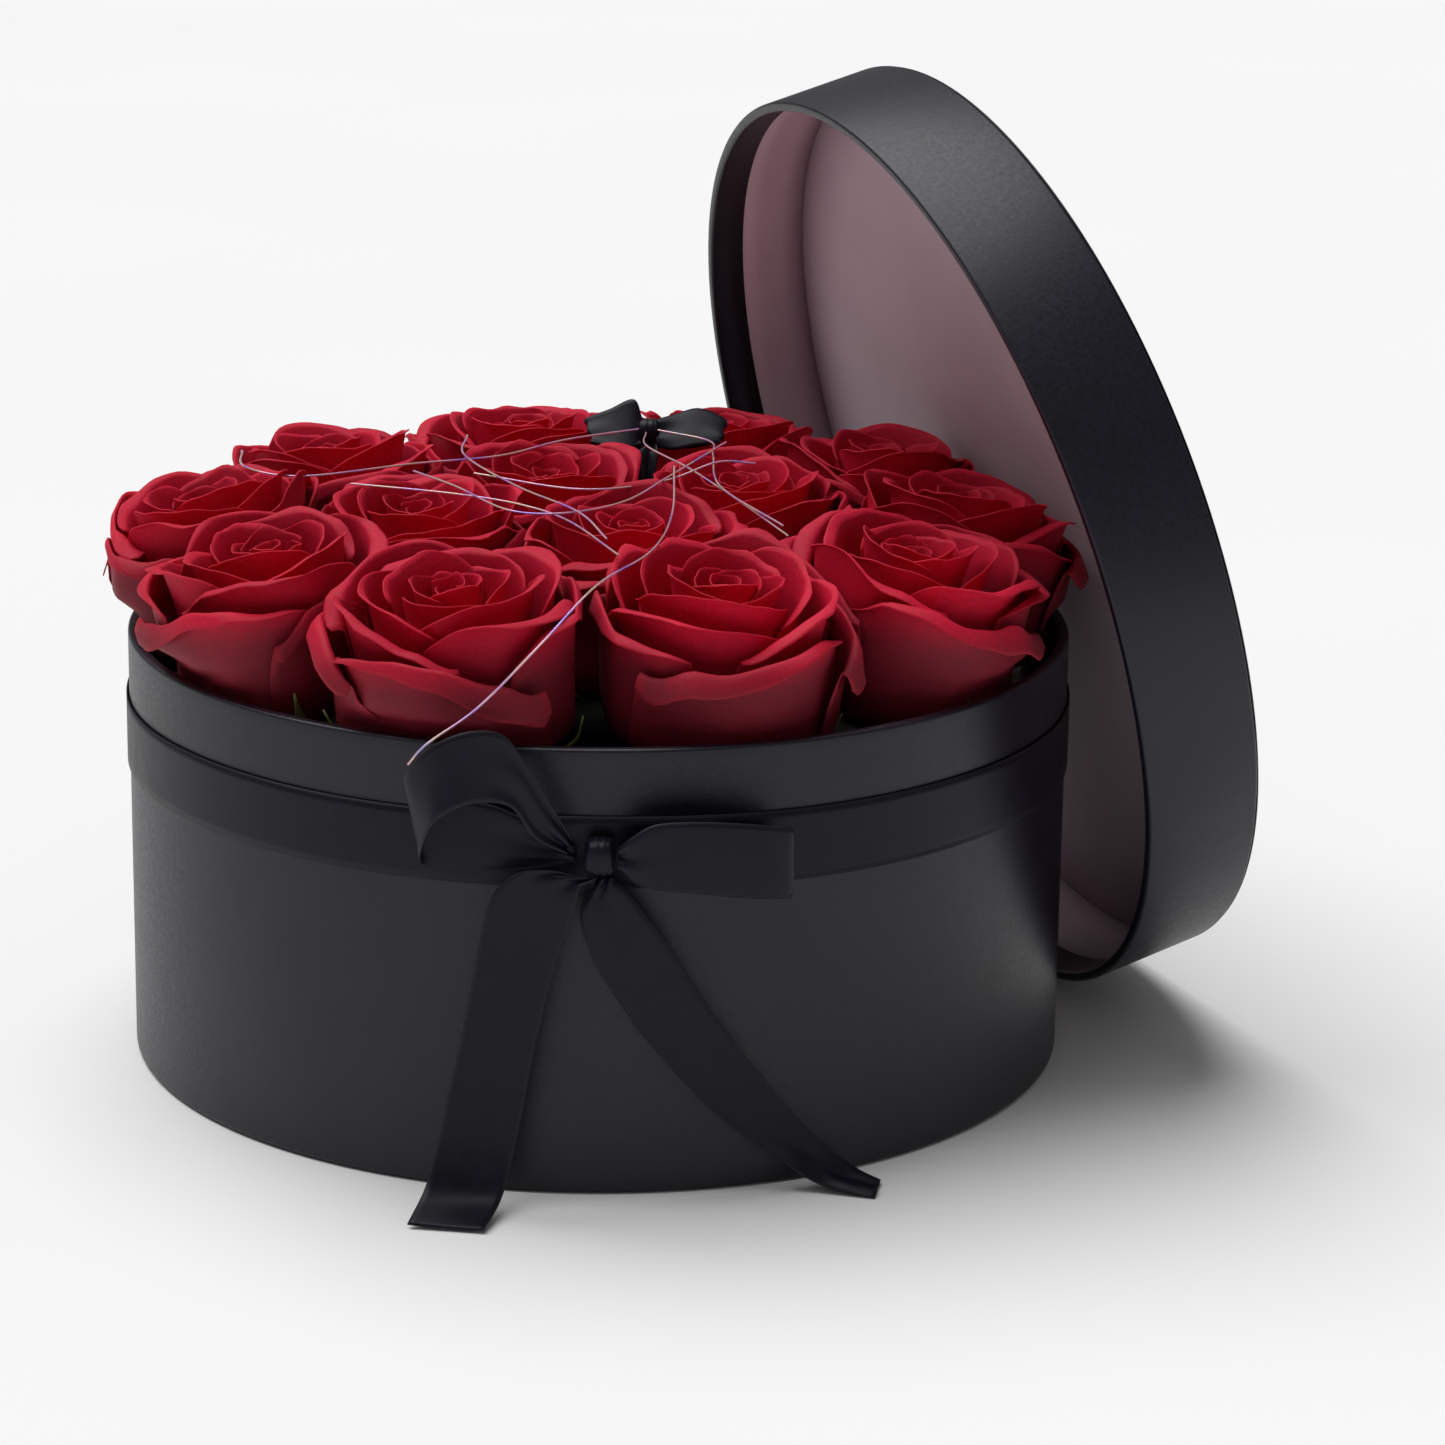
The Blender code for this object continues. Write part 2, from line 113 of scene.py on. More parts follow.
class Finish:
    """A node material with a Principled shader. Its textures lie in the object's own coordinates."""

    def __init__(self, name, **sockets):
        self.material = bpy.data.materials.new(name)
        self.material.use_nodes = True
        self.tree = self.material.node_tree
        self.shader = self.tree.nodes["Principled BSDF"]
        self.place = self.node("ShaderNodeTexCoord").outputs["Object"]
        for socket, value in sockets.items():
            self.shader.inputs[socket.replace("_", " ")].default_value = value

    def node(self, kind, **settings):
        made = self.tree.nodes.new(kind)
        for key, value in settings.items():
            setattr(made, key, value)
        return made

    def link(self, start, end):
        self.tree.links.new(start, end)

    def noise(self, scale, detail=2.0, stretch=None, roughness=0.5):
        made = self.node("ShaderNodeTexNoise")
        made.inputs["Scale"].default_value = scale
        made.inputs["Detail"].default_value = detail
        made.inputs["Roughness"].default_value = roughness
        if stretch:
            mapping = self.node("ShaderNodeMapping")
            mapping.inputs["Scale"].default_value = stretch
            self.link(self.place, mapping.inputs["Vector"])
            self.link(mapping.outputs["Vector"], made.inputs["Vector"])
        else:
            self.link(self.place, made.inputs["Vector"])
        return made.outputs["Fac"]

    def attribute(self, name):
        return self.node("ShaderNodeAttribute", attribute_name=name).outputs["Fac"]

    def ramp(self, factor, *stops):
        made = self.node("ShaderNodeValToRGB")
        elements = made.color_ramp.elements
        while len(elements) < len(stops):
            elements.new(0.5)
        for element, (position, colour) in zip(elements, stops):
            element.position = position
            element.color = (*colour, 1.0)
        self.link(factor, made.inputs["Fac"])
        return made.outputs["Color"]

    def mix(self, factor, first, second, blend="MIX"):
        """Colour mix. Of a Mix node's sockets, inputs 6 and 7 and output 2 are the ones for colours."""
        made = self.node("ShaderNodeMix", data_type="RGBA", blend_type=blend)
        for socket, value in ((made.inputs[0], factor), (made.inputs[6], first), (made.inputs[7], second)):
            if isinstance(value, bpy.types.NodeSocket):
                self.link(value, socket)
            elif isinstance(value, tuple):
                socket.default_value = (*value, 1.0)
            else:
                socket.default_value = value
        return made.outputs[2]

    def range(self, value, low, high, source=(0.0, 1.0)):
        """The value moved from the source range to low..high, and clamped there."""
        made = self.node("ShaderNodeMapRange")
        self.link(value, made.inputs["Value"])
        made.inputs["From Min"].default_value = source[0]
        made.inputs["From Max"].default_value = source[1]
        made.inputs["To Min"].default_value = low
        made.inputs["To Max"].default_value = high
        return made.outputs["Result"]

    def math(self, operation, first, second):
        made = self.node("ShaderNodeMath", operation=operation)
        for socket, value in zip(made.inputs, (first, second)):
            if isinstance(value, bpy.types.NodeSocket):
                self.link(value, socket)
            else:
                socket.default_value = value
        return made.outputs[0]

    def colour(self, value):
        self.link(value, self.shader.inputs["Base Color"])

    def roughness(self, value):
        self.link(value, self.shader.inputs["Roughness"])

    def bump(self, height, strength, distance):
        made = self.node("ShaderNodeBump")
        made.inputs["Strength"].default_value = strength
        made.inputs["Distance"].default_value = distance
        self.link(height, made.inputs["Height"])
        self.link(made.outputs["Normal"], self.shader.inputs["Normal"])


def black_paper():
    finish = Finish("black paper", Specular_IOR_Level=0.42)
    mottle = finish.noise(45, 3)
    grain = finish.noise(900, 3, roughness=0.7)
    fibres = finish.noise(260, 2, stretch=(1.0, 1.0, 0.25))
    base = finish.ramp(mottle, (0.3, (0.004, 0.003, 0.009)), (0.7, (0.007, 0.005, 0.015)))
    speckle = finish.ramp(grain, (0.35, (0.72, 0.72, 0.74)), (0.7, (1.25, 1.25, 1.25)))
    finish.colour(finish.mix(1.0, base, speckle, "MULTIPLY"))
    finish.roughness(finish.range(grain, 0.34, 0.48, (0.3, 0.7)))
    finish.bump(finish.math("ADD", grain, finish.math("MULTIPLY", fibres, 0.6)), 0.3, 0.10 * MM)
    return finish.material


def lining_paper():
    finish = Finish("lining paper", Specular_IOR_Level=0.3)
    mottle = finish.noise(30, 3)
    grain = finish.noise(1100, 2)
    # The pale lining paper is tinted pink: painted red light thrown back onto it from the roses.
    finish.colour(finish.ramp(mottle, (0.3, (0.62, 0.49, 0.55)), (0.7, (0.68, 0.55, 0.61))))
    finish.roughness(finish.range(grain, 0.6, 0.75))
    finish.bump(finish.math("ADD", grain, finish.math("MULTIPLY", mottle, 2.0)), 0.2, 0.08 * MM)
    return finish.material


def grey_board():
    finish = Finish("grey board", Roughness=0.9)
    flecks = finish.noise(700, 4, roughness=0.8)
    finish.colour(finish.ramp(flecks, (0.3, (0.24, 0.21, 0.18)), (0.7, (0.50, 0.46, 0.40))))
    finish.bump(flecks, 0.4, 0.1 * MM)
    return finish.material


def floral_foam():
    finish = Finish("floral foam", Roughness=0.95)
    cells = finish.noise(900, 5, roughness=0.8)
    patches = finish.noise(60, 2)
    # Very dark green: the foam's own green, darkened to near black as painted shade in the gaps between
    # the roses.
    base = finish.ramp(patches, (0.3, (0.008, 0.014, 0.007)), (0.7, (0.014, 0.022, 0.011)))
    pores = finish.ramp(cells, (0.3, (0.6,) * 3), (0.7, (1.3,) * 3))
    finish.colour(finish.mix(1.0, base, pores, "MULTIPLY"))
    finish.bump(cells, 0.8, 0.4 * MM)
    return finish.material


def red_soap():
    """Matte soap petals: a soft mottle, a painted highlight on the free edges and a little light through
    them. Their colour also holds painted shade, a dark red low on the rose's outside, and painted light, a
    brighter, deeper red where light reaches the petals from above.

    Its points carry "open", "edge" and "tone", which petal() and add_roses() give them: "open" is the
    share of painted light from above against painted shade low on the rose's outside, "edge" marks the
    free edges for a painted highlight, and "tone" differs at random from petal to petal.
    """
    finish = Finish(
        "red soap",
        Subsurface_Weight=0.25,
        Subsurface_Radius=(1.0, 0.05, 0.08),
        Subsurface_Scale=1.5 * MM,
        Specular_IOR_Level=0.2,
    )
    mottle = finish.noise(55, 4)
    powder = finish.noise(1100, 3, roughness=0.6)
    # Painted shade and light: the dark red is painted shade low on the rose's outside, the brighter,
    # deeper red is painted light from above and painted red light bounced between the petals.
    outside = finish.ramp(mottle, (0.3, (0.20, 0.009, 0.021)), (0.7, (0.25, 0.014, 0.028)))
    inside = finish.ramp(mottle, (0.3, (0.54, 0.004, 0.032)), (0.7, (0.65, 0.009, 0.042)))
    body = finish.mix(finish.attribute("open"), outside, inside)
    grain = finish.ramp(powder, (0.35, (0.88,) * 3), (0.65, (1.08,) * 3))
    tone = finish.ramp(finish.attribute("tone"), (0.0, (0.84, 0.84, 0.86)), (1.0, (1.05, 1.06, 1.05)))
    toned = finish.mix(1.0, finish.mix(1.0, body, tone, "MULTIPLY"), grain, "MULTIPLY")
    # Painted highlight: the petals' free edges are mixed towards a lighter red.
    rim = finish.math("MULTIPLY", finish.attribute("edge"), 0.3)
    finish.colour(finish.mix(rim, toned, (0.62, 0.025, 0.052)))
    finish.roughness(finish.range(powder, 0.55, 0.7))
    finish.bump(finish.math("ADD", powder, finish.math("MULTIPLY", mottle, 3.0)), 0.35, 0.1 * MM)
    return finish.material


def green_plastic():
    finish = Finish("green plastic", Specular_IOR_Level=0.45)
    veins = finish.noise(260, 3, stretch=(1.0, 1.0, 0.3))
    finish.colour(finish.ramp(veins, (0.3, (0.13, 0.17, 0.04)), (0.75, (0.34, 0.36, 0.12))))
    finish.roughness(finish.range(veins, 0.38, 0.6))
    finish.bump(veins, 0.3, 0.2 * MM)
    return finish.material


SELVEDGE = (0.0072, 0.0078)  # distances from the ribbon's middle between which its woven edge begins


def satin():
    """Black satin ribbon: a very fine weave along its own U and V, a woven edge and a soft gloss.

    U runs along the ribbon, V is the distance from its middle, both in metres.
    """
    finish = Finish("black satin", Specular_IOR_Level=0.21)
    place = finish.node("ShaderNodeUVMap", uv_map="strip").outputs["UV"]
    ribs = finish.node("ShaderNodeTexWave", wave_type="BANDS", bands_direction="X")
    ribs.inputs["Scale"].default_value = 900
    ribs.inputs["Distortion"].default_value = 1.5
    finish.link(place, ribs.inputs["Vector"])
    split = finish.node("ShaderNodeSeparateXYZ")
    finish.link(place, split.inputs["Vector"])
    selvedge = finish.range(split.outputs["Y"], 0.0, 1.0, SELVEDGE)
    streaks = finish.noise(220, 3)
    base = finish.ramp(streaks, (0.3, (0.004, 0.003, 0.008)), (0.7, (0.008, 0.006, 0.014)))
    finish.colour(finish.mix(selvedge, base, (0.016, 0.014, 0.018)))
    finish.roughness(finish.range(streaks, 0.36, 0.5))
    height = finish.math("ADD", finish.math("MULTIPLY", ribs.outputs["Fac"], 0.35), selvedge)
    finish.bump(height, 0.3, 0.08 * MM)
    return finish.material


def tinsel_film():
    """Thin plastic film: its colour changes between white, rose, lilac and blue along the strand. The blue
    and lilac are painted glints; the rose is painted red light from the roses showing through the film.
    """
    finish = Finish(
        "tinsel film",
        Metallic=0.3,
        Coat_Weight=0.8,
        Coat_Roughness=0.08,
        Thin_Film_Thickness=420.0,
        Thin_Film_IOR=1.5,
    )
    painted_glints_and_tint = finish.noise(75, 3)
    glints = finish.noise(420, 2)
    # Bands along the strand: blue and lilac painted glints, and rose painted light from the red roses
    # under the film.
    finish.colour(
        finish.ramp(
            painted_glints_and_tint,
            (0.30, (0.34, 0.22, 0.95)),
            (0.42, (0.78, 0.40, 0.70)),
            (0.52, (0.84, 0.50, 0.54)),
            (0.62, (0.76, 0.56, 0.44)),
            (0.72, (0.42, 0.34, 1.00)),
        )
    )
    finish.roughness(finish.range(glints, 0.12, 0.34))
    finish.bump(glints, 0.3, 0.1 * MM)
    return finish.material


def green_wire():
    finish = Finish("green wire", Specular_IOR_Level=0.5)
    scuffs = finish.noise(500, 3)
    finish.colour(finish.ramp(scuffs, (0.3, (0.02, 0.06, 0.02)), (0.7, (0.05, 0.12, 0.05))))
    finish.roughness(finish.range(scuffs, 0.35, 0.6))
    return finish.material


def pale_floor():
    finish = Finish("pale floor", Specular_IOR_Level=0.1)
    clouds = finish.noise(2.5, 2)
    finish.colour(finish.ramp(clouds, (0.3, (0.93, 0.93, 0.93)), (0.7, (0.95, 0.95, 0.95))))
    finish.roughness(finish.range(clouds, 0.85, 0.95))
    return finish.material


BLACK_PAPER = black_paper()
LINING = lining_paper()
BOARD = grey_board()
FOAM = floral_foam()
SOAP = red_soap()
PLASTIC = green_plastic()
SATIN = satin()
FILM = tinsel_film()
WIRE = green_wire()


# ---------------------------------------------------------------- mesh helpers


def add_mesh(name, verts, faces, material, attributes=None, uvs=None, sharp=math.radians(50)):
    """Smooth-shaded mesh object in the frame's axes, with per-point attributes if any."""
    mesh = bpy.data.meshes.new(name)
    mesh.from_pydata(np.asarray(verts, dtype=float).tolist(), [], [tuple(f) for f in faces])
    mesh.shade_smooth()
    mesh.set_sharp_from_angle(angle=sharp)
    for key, values in (attributes or {}).items():
        layer = mesh.attributes.new(key, "FLOAT", "POINT")
        layer.data.foreach_set("value", np.asarray(values, dtype=np.float32))
    if uvs is not None:
        layer = mesh.uv_layers.new(name="strip")
        corner = np.empty(len(mesh.loops), dtype=np.int32)
        mesh.loops.foreach_get("vertex_index", corner)
        layer.data.foreach_set("uv", np.asarray(uvs, dtype=np.float32)[corner].ravel())
    mesh.materials.append(material)
    item = bpy.data.objects.new(name, mesh)
    bpy.context.scene.collection.objects.link(item)
    return item


def thicken(item, thickness, offset=0.0):
    solid = item.modifiers.new("thickness", "SOLIDIFY")
    solid.thickness = thickness
    solid.offset = offset
    solid.use_even_offset = False


def grid_faces(rows, cols, start=0, around=False):
    """Quads of a grid of points, row by row; with around=True each row closes on itself."""
    faces = []
    for i in range(rows - 1):
        for j in range(cols if around else cols - 1):
            k = (j + 1) % cols
            faces.append(
                (
                    start + i * cols + j,
                    start + i * cols + k,
                    start + (i + 1) * cols + k,
                    start + (i + 1) * cols + j,
                )
            )
    return faces


def rounded(outline, radii, steps=4):
    """The outline with each inner corner replaced by an arc of the radius given for it."""
    line = [np.array(p, dtype=float) for p in outline]
    made = [line[0]]
    for before, corner, after, radius in zip(line, line[1:], line[2:], radii):
        to_before = unit(before - corner)
        to_after = unit(after - corner)
        half = math.acos(np.clip(to_before @ to_after, -1, 1)) / 2
        reach = radius / math.tan(half)
        middle = corner + unit(to_before + to_after) * radius / math.sin(half)
        start = corner + to_before * reach - middle
        end = corner + to_after * reach - middle
        sweep = math.pi - 2 * half
        for step in range(steps + 1):
            t = step / steps
            arm = (math.sin((1 - t) * sweep) * start + math.sin(t * sweep) * end) / math.sin(sweep)
            made.append(middle + arm)
    made.append(line[-1])
    return made


def circle_angles():
    return np.arange(AROUND) * 2 * math.pi / AROUND


Seam = namedtuple("Seam", "angle half_width radius")


def turned_shell(name, outline, material, seam=None, closed=False):
    """Sheet turned round the Z axis through (radius, height) points.

    A seam is the sheet's overlap: a strip that stands almost a paper's thickness proud wherever the
    sheet lies further out than the seam's radius. closed=True fills the last ring to its centre.
    """
    if closed:
        radius, height = outline[-1]
        outline = outline + [(radius * share, height) for share in (0.66, 0.33)]
    angles = circle_angles()
    rows = []
    for radius, height in outline:
        reach = np.full(AROUND, radius)
        if seam and radius > seam.radius:
            off = np.abs((angles - seam.angle + math.pi) % (2 * math.pi) - math.pi)
            inside = np.clip((seam.half_width - off) / (1.2 * seam.half_width), 0, 1)
            reach += 0.8 * PAPER * inside**0.3
        rows.append(np.stack([reach * np.cos(angles), reach * np.sin(angles), np.full(AROUND, height)], 1))
    faces = grid_faces(len(outline), AROUND, around=True)
    if closed:
        centre = len(outline) * AROUND
        rows.append([(0, 0, height)])
        faces += [(centre - AROUND + j, centre - AROUND + (j + 1) % AROUND, centre) for j in range(AROUND)]
    return add_mesh(name, np.concatenate(rows), faces, material)


def smooth_route(points, count):
    """Points spread evenly in parameter on a Catmull-Rom curve through the given ones."""
    given = np.array(points, dtype=float)
    ends = np.vstack([2 * given[0] - given[1], given, 2 * given[-1] - given[-2]])
    place = np.linspace(0, len(given) - 1, count)
    i = np.minimum(place.astype(int), len(given) - 2)
    t = (place - i)[:, None]
    a, b, c, d = ends[i], ends[i + 1], ends[i + 2], ends[i + 3]
    return 0.5 * (
        2 * b + (c - a) * t + (2 * a - 5 * b + 4 * c - d) * t**2 + (3 * b - a - 3 * c + d) * t**3
    )


# ---------------------------------------------------------------- camera, light and floor


CAMERA_PLACE = (0.02917, -1.03949, 0.37352)
CAMERA_LENS = 113.93  # mm, on a 36 mm sensor
CAMERA_TILT = math.radians(15.974)  # downwards
CAMERA_ROLL = -0.0148


def add_camera():
    """View from the front, a little above the box and tilted down to it, with a hint of roll."""
    camera = bpy.data.objects.new("camera", bpy.data.cameras.new("camera"))
    bpy.context.scene.collection.objects.link(camera)
    camera.data.sensor_width = 36
    camera.data.lens = CAMERA_LENS
    camera.data.clip_start = 0.05
    camera.data.clip_end = 30
    right = Vector((1, 0, 0))
    up = Vector((0, math.sin(CAMERA_TILT), math.cos(CAMERA_TILT)))
    turned_right = right - up * CAMERA_ROLL
    turned_up = up + right * CAMERA_ROLL
    back = turned_right.cross(turned_up)
    turn = Matrix((turned_right.normalized(), turned_up.normalized(), back.normalized())).transposed()
    camera.matrix_world = Matrix.Translation(CAMERA_PLACE) @ turn.to_4x4()
    bpy.context.scene.camera = camera


SUN_PLACE = Vector((-0.5, 0.35, 1.6))


def add_sun():
    """A sun as wide as a studio's soft box, from above and a little behind on the left."""
    light = bpy.data.lights.new("soft sun", "SUN")
    light.energy = 2.7
    light.angle = math.radians(60)
    sun = bpy.data.objects.new("soft sun", light)
    bpy.context.scene.collection.objects.link(sun)
    sun.location = SUN_PLACE
    sun.rotation_euler = (-SUN_PLACE).to_track_quat("-Z", "Y").to_euler()


def add_studio():
    """A dim white sky, one very soft sun and a pale floor."""
    world = bpy.data.worlds.new("studio")
    world.use_nodes = True
    world.node_tree.nodes["Background"].inputs["Color"].default_value = (1, 1, 1, 1)
    world.node_tree.nodes["Background"].inputs["Strength"].default_value = 0.2
    bpy.context.scene.world = world
    bpy.context.scene.view_settings.view_transform = "Standard"
    add_sun()
    bpy.ops.mesh.primitive_grid_add(x_subdivisions=8, y_subdivisions=8, size=10)
    floor = bpy.context.active_object
    floor.name = "floor"
    floor.data.materials.append(pale_floor())


# ---------------------------------------------------------------- tinsel


TINSEL_ROUTES = (  # in mm
    (
        (7.6, 54.6, 134.6), (-10, 41, 134.6), (-25, 28, 133.4), (-45, 18, 133.4),
        (-70, 4, 133.2), (-84, 12, 133.4), (-87, 32, 132.8),
    ),
    ((9.4, 55, 133.6), (10, 40, 133.6), (21, 15, 133.6), (33, -18, 133.4), (43, -50, 133.8)),
    ((12.4, 54.6, 134.4), (25, 44, 134.2), (26, 26, 134.6), (28, -5, 134.2), (42, -44, 134.6)),
    ((-58, -3, 133.2), (-34, -14, 133.8), (-18, -23, 133.6), (-6, -38, 133.4), (6, -70, 133.6)),
    (
        (-44, 6, 134.4), (-33, -12, 135), (-20, -33, 134.6), (-7, -36, 134.8), (6, -22, 134.4),
        (16, 2, 135), (29, 34, 136.2),
    ),
    ((-34, 50, 133.4), (-33, 24, 134.2), (-19, -10, 134.8), (-4, -38, 135.6), (3, -56, 133.8)),
    ((-30, 8, 133.6), (-5, -6, 133.4), (14, 3, 133.4), (27, 12, 136.2), (36, 14, 135.6)),
    (
        (17, 6, 136.4), (17, -30, 133.4), (13, -70, 134.6), (2, -96, 133.4), (-9, -113, 125),
        (-22, -119, 112.5), (-32.5, -123.2, 105.6), (-36.5, -123, 101),
    ),
)
TINSEL_WIDTH = 0.5 * MM
TINSEL_POINTS = 72


def add_tinsel():
    for number, route in enumerate(TINSEL_ROUTES, start=1):
        curve = bpy.data.curves.new(f"strand_{number}", "CURVE")
        curve.dimensions = "3D"
        curve.bevel_depth = TINSEL_WIDTH / 2
        curve.bevel_resolution = 2
        curve.use_fill_caps = True
        curve.materials.append(FILM)
        spline = curve.splines.new("POLY")
        spline.points.add(TINSEL_POINTS - 1)
        line = smooth_route(route, TINSEL_POINTS) * MM
        for point, place in zip(spline.points, line):
            point.co = (*place, 1)
        strand = bpy.data.objects.new(f"strand_{number}", curve)
        bpy.context.scene.collection.objects.link(strand)
        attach(strand, "box")
        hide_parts(f"tinsel_{number}")


# ---------------------------------------------------------------- roses


# A layer's petals, in mm from the head's foot, and in degrees:
#   count, how many; radius and top, of their upper edge; half, half the angle that one spans;
#   lip, the smallest and largest length of the edge that rolls back, and turn, by how many degrees;
#   belly, the height over which they swell from the radius foot at the height low to their full
#   radius; drop, how much lower their upper edge is at the sides; flare, how much they open at the top.
Layer = namedtuple("Layer", "count radius top half lip turn belly foot low drop flare")
PETAL_LAYERS = (
    Layer(2, 3.0, 40.2, 125, (0.3, 0.6), 30, 8, 1.5, 26, 0.5, 0.4),
    Layer(3, 6.4, 41.4, 86, (0.3, 1.0), 40, 8, 3.5, 22, 2.2, 1.2),
    Layer(3, 10.6, 42.4, 82, (0.4, 2.0), 50, 10, 5.0, 17, 4.4, 2.2),
    Layer(3, 15.6, 42.8, 80, (0.6, 3.6), 65, 12, 6.0, 10, 6.4, 3.0),
    Layer(4, 21.2, 41.8, 65, (1.0, 6.0), 95, 11, 6.5, 4, 7.6, 3.2),
    Layer(4, 27.0, 38.8, 62, (2.5, 10.0), 135, 11, 7.0, 0.5, 7.5, 2.4),
)
GROWN_RADIUS = 28  # mm, of a fully grown petal, of which the other petals are a share
PETAL_THICKNESS = 0.3 * MM
FOLD_RADIUS = 0.8  # mm
PETAL_COLUMNS = 25
WALL_ROWS = 10
LIP_ROWS = 6
SEPAL_COUNT = 5
SEPAL_LINE = ((6.4, -3), (9, 0), (16, 1.6), (23, 4.6), (27.5, 9), (29.4, 14.5))  # (radius, height), mm
SEPAL_ROWS = 14
SEPAL_COLUMNS = 5
SEPAL_THICKNESS = 0.4 * MM
REACH = 36 * MM  # how far an unpressed petal may stand from its rose's axis
OVERHANG = 10 * MM  # how far petals above the rim may stand out past the box's inside
PRESSED_ZONE = 4 * MM  # the outer part of the room left to a rose, into which all beyond is pressed
ROSE_GAP = 0.3 * MM  # kept free on each side between two roses
WALL_GAP = 0.4 * MM  # kept free between a rose and the box's wall
LID_GAP = 3 * MM  # kept free under the lid's top, for its board and lining
FULL_HEAD = 36 * MM  # height above its foot at which a rose head is widest
OVERHANG_START = 0.8 * MM  # height above the rim at which petals begin to stand out past it
OVERHANG_RISE = 7 * MM  # height over which they come to the full overhang
RIM_ZONE = 1.5 * MM  # petals that come this near to the lid's open edge stay inside its wall


def any_wave(rng, heights, counts, u):
    """A sine across the petal with a random height, number of waves and start."""
    return rng.uniform(*heights) * np.sin(rng.uniform(*counts) * u + rng.uniform(0, 6.3))


def petal(rng, layer, phase, wind):
    """Points of one petal in mm as rows from its foot up to its free edge, each point's edge value, which
    marks the free edges for a painted highlight, and its share of painted light, which is 1 where light
    reaches the petal from above and 0 low on the rose's outside, which is painted in shade.

    wind is 1 or -1: the side on which the petal lies outside its neighbour and rolls back further.
    """
    # Across the petal, u goes from one side to the other: how far its lip rolls back, and how high
    # its wall reaches, with waves, a small point near the middle and a lifted outer corner.
    u = np.linspace(-1, 1, PETAL_COLUMNS)[None, :]
    side = (1 + wind * u) / 2
    lip_small, lip_large = layer.lip
    lip_large *= rng.uniform(0.7, 1.25)
    lip = (lip_small + (lip_large - lip_small) * side**1.6) * (1 - 0.55 * np.abs(u) ** 6)
    turn = math.radians(layer.turn) * rng.uniform(0.85, 1.12) * (0.72 + 0.28 * side)
    waves = any_wave(rng, (0.4, 1.1), (3, 6), u)
    small = any_wave(rng, (0.08, 0.25), (10, 18), u)
    tip = 0.8 * np.exp(-((u - rng.uniform(-0.2, 0.2)) / 0.12) ** 2)
    grown = layer.radius / GROWN_RADIUS
    top = layer.top + rng.uniform(-1.2, 1.2) + (waves + small) * (0.4 + grown) - 0.8 * lip
    top = top - layer.drop * np.abs(u) ** 2.4
    top = top + 1.4 * grown * np.exp(-(((wind * u - rng.uniform(0.6, 0.8)) / 0.13) ** 2))

    # The wall swells from its foot, opens at the top, stands off on its outer side and tucks in under
    # its neighbour on the other.
    t = np.linspace(0, 1, WALL_ROWS)[:, None]
    z = layer.low + (top - layer.low) * t
    rise = np.clip((z - layer.low) / layer.belly, 0, 1)
    r = layer.foot + (layer.radius - layer.foot) * (1 - (1 - rise) ** 2.2)
    height = (z - layer.low) / (layer.top - layer.low)
    r = r + layer.flare * height**3
    r = r + grown * any_wave(rng, (0.5, 1.5), (1.5, 4), u) * height
    outer_side = np.clip(wind * u - 0.45, 0, 1)
    inner_side = np.clip(-wind * u - 0.3, 0, 1)
    stands_off = 0.2 * grown**2 + (1 - 0.2 * grown**2) * height**1.3
    r = r + (8.0 * grown**1.5 * outer_side**1.4 + 0.4 * outer_side) * stands_off
    r = r - (2.2 * grown * inner_side + 0.5 * inner_side) * (0.3 + 0.7 * height)

    # The lip turns over within a short fold and goes on straight, with a ripple.
    k = (np.arange(1, LIP_ROWS + 1) / LIP_ROWS)[:, None]
    length = (lip + tip * min(1.0, 0.3 + grown)) * k
    step = np.diff(np.vstack([np.zeros_like(lip), length]), axis=0)
    start_angle = 0.12 + 3 * layer.flare / (layer.top - layer.low)
    fold = FOLD_RADIUS * (0.5 + 0.8 * grown)
    angle = start_angle + turn * (1 - np.exp(-(length - step / 2) / fold))
    lip_r = r[-1:] + np.cumsum(np.sin(angle) * step, axis=0)
    lip_z = z[-1:] + np.cumsum(np.cos(angle) * step, axis=0)
    ripple = any_wave(rng, (0.3, 0.8), (5, 10), u) * grown * k
    r = np.vstack([r, lip_r + ripple])
    z = np.vstack([z, lip_z + 0.6 * ripple])

    # The whole petal leans a little to one side, so that no two are quite round the same centre.
    narrow = np.concatenate([np.linspace(0, 1, WALL_ROWS) ** 4, np.ones(LIP_ROWS)])[:, None]
    phi = phase + math.radians(layer.half) * u * (1 - 0.10 * narrow)
    lean = rng.uniform(0, 1.6) * math.sin(math.pi * grown)
    lean = lean * np.clip((z - layer.low) / (layer.top - layer.low), 0, 1)
    bearing = rng.uniform(0, 2 * math.pi)
    x = r * np.cos(phi) + lean * math.cos(bearing)
    y = r * np.sin(phi) + lean * math.sin(bearing)
    verts = np.stack([x, y, z], axis=2).reshape(-1, 3)

    # The edge value marks the free edges, which get a painted highlight.
    edge = np.zeros((WALL_ROWS + LIP_ROWS, PETAL_COLUMNS))
    edge[-1] = 1.0
    edge[WALL_ROWS - 3 :, 0] = 0.8
    edge[WALL_ROWS - 3 :, -1] = 0.8
    # Share of painted light: 1 on the inner petals and high on the outer ones, which light reaches from
    # above; 0 low on the rose's outside, which is painted in shade.
    inner = np.clip((26 - layer.radius) / 10, 0, 1)
    painted_light_share = inner + (1 - inner) * np.clip((z - 27) / 8, 0, 1)
    return verts, edge.ravel(), painted_light_share.ravel()


def pressed_in(value, limit, far):
    """value with what lies beyond limit - PRESSED_ZONE, up to far, pressed into that zone."""
    kept = limit - PRESSED_ZONE
    new = kept + (value - kept) * PRESSED_ZONE / np.maximum(far - kept, PRESSED_ZONE)
    return np.where(value > kept, new, value)


def axis_at(rose, height):
    """Where a rose's axis is at the given heights, seen from above."""
    base, direction = ROSES[rose]
    return base[None, :2] + direction[None, :2] * ((height - base[2]) / direction[2])[:, None]


